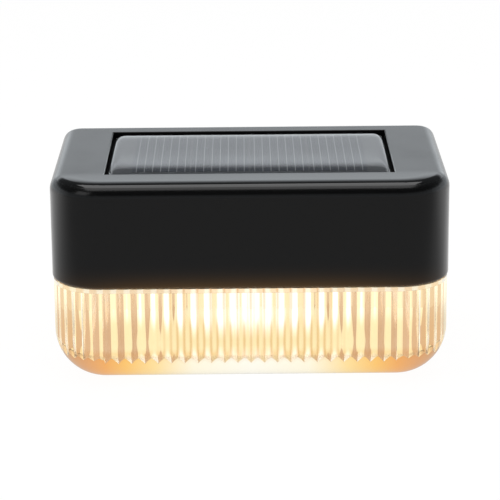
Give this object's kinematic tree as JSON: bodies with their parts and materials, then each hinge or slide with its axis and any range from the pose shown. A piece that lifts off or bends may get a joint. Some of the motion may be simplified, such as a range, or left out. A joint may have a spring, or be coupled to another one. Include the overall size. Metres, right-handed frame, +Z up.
{
  "type": "solar fence light",
  "caption": "Solar fence light: black housing with a domed solar panel sunk in its top, fluted clear lens below, keyhole hangers and a push switch in its flat back.",
  "frame": {"origin": "middle of the flat back face, which lies against the fence", "axes": "+Z up, +Y out of the back into the fence, the front with the light faces -Y, width along X"},
  "size_m": [0.12, 0.08, 0.0631],
  "materials": {
    "housing_black": "satin moulded black",
    "lens_clear": "clear, fluted, lit warm white",
    "tray_white": "satin white",
    "seal_rubber": "matt black",
    "button_grey": "matt dark grey",
    "switch_black": "satin",
    "plunger_white": "satin",
    "board_green": "solder mask",
    "board_white": "white solder mask",
    "chip_black": "matt",
    "ferrite": "matt sintered",
    "copper": "enamelled wire",
    "can_sleeve": "printed film sleeve",
    "led_yellow": "phosphor, lit",
    "cell_green": "heat-shrink sleeve",
    "steel": "zinc plated",
    "nickel": "nickel plated",
    "foam": "black foam tape",
    "board_dark": "matt dark",
    "silicon": "dark blue-black silicon",
    "cover_resin": "clear cast resin, satin gloss",
    "lead_red": "insulated wire"
  },
  "bodies": {
    "light": {"top_housing": "housing_black", "lens": "lens_clear", "back_plate": "housing_black", "back_gasket": "seal_rubber", "light_tray": "tray_white", "button_seal": "seal_rubber", "switch_body": "switch_black", "control_board": "board_green", "control_chip": "chip_black", "inductor": "ferrite", "inductor_coil": "copper", "capacitor": "can_sleeve", "diode": "chip_black", "back_screws": "steel", "board_screws": "steel", "tray_screws": "steel", "led_screws": "steel", "led_board": "board_white", "leds": "led_yellow", "battery_cell": "cell_green", "battery_holder": "switch_black", "battery_contact": "nickel", "battery_spring": "nickel", "solar_adhesive": "foam", "solar_board": "board_dark", "solar_cells": "silicon", "solar_cover": "cover_resin", "panel_leads": "lead_red", "battery_leads": "lead_red", "led_leads": "lead_red"},
    "button": {"button_cap": "button_grey", "switch_plunger": "plunger_white"}
  },
  "joints": [
    {"name": "button_press", "type": "slide", "parent": "light", "child": "button", "axis": [0, -1, 0], "range_m": [0, 0.0015], "stiffness_N_per_m": 900}
  ]
}
